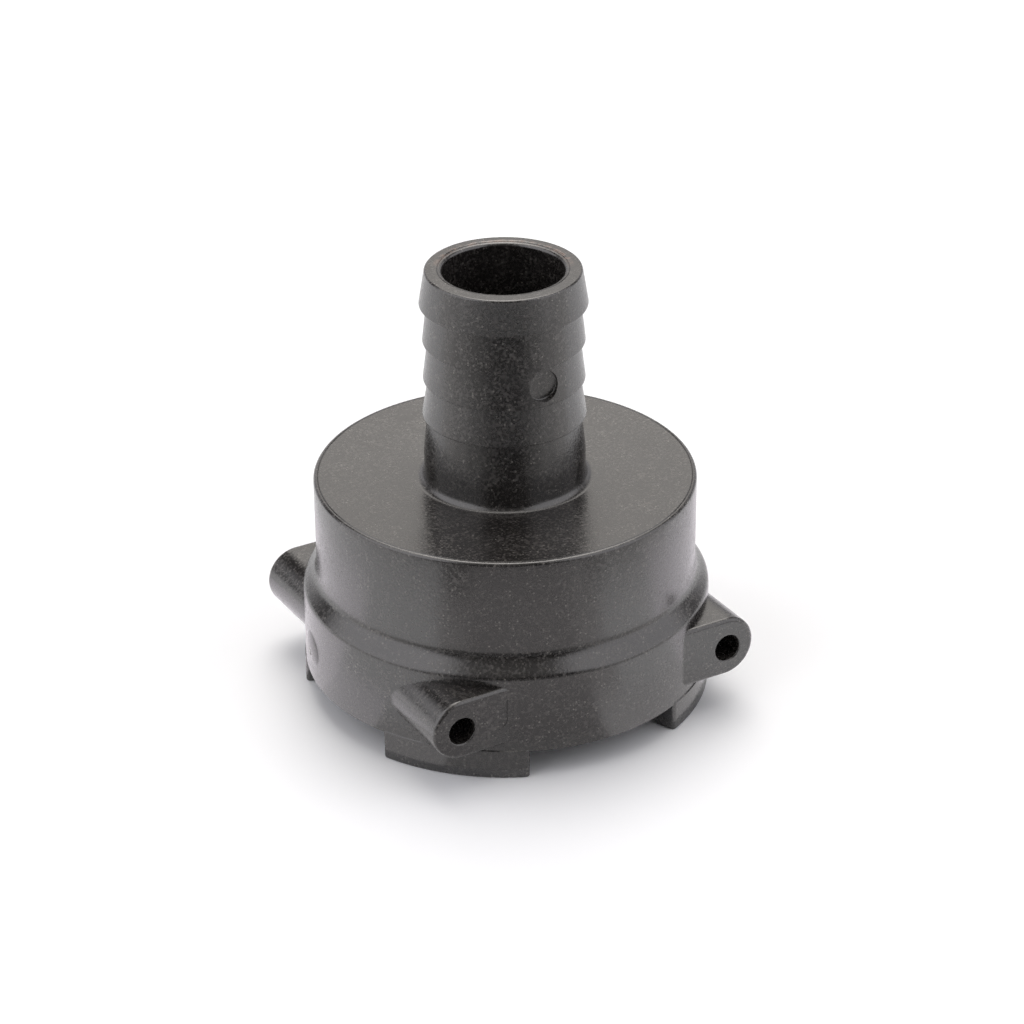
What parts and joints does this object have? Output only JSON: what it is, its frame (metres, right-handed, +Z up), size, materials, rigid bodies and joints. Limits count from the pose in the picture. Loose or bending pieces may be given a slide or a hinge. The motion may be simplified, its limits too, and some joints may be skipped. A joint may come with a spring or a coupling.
{
  "type": "hose fitting",
  "caption": "Straight hose fitting: a barbed hose tail on a wide stepped socket with lugs for a fork clip and a castellated rim.",
  "frame": {"origin": "centre of the plane of the four tab ends that the fitting stands on", "axes": "+Z up the common axis from the socket's mouth to the hose tail's mouth, Y along the two clip holes, X across them; the round recess on the tail faces -Y"},
  "size_m": [0.104, 0.104, 0.1144],
  "materials": {
    "body_plastic": "semi-matt dark brown-black glass-filled nylon, finely speckled"
  },
  "bodies": {
    "root": {"fitting_body": "body_plastic"}
  },
  "joints": []
}
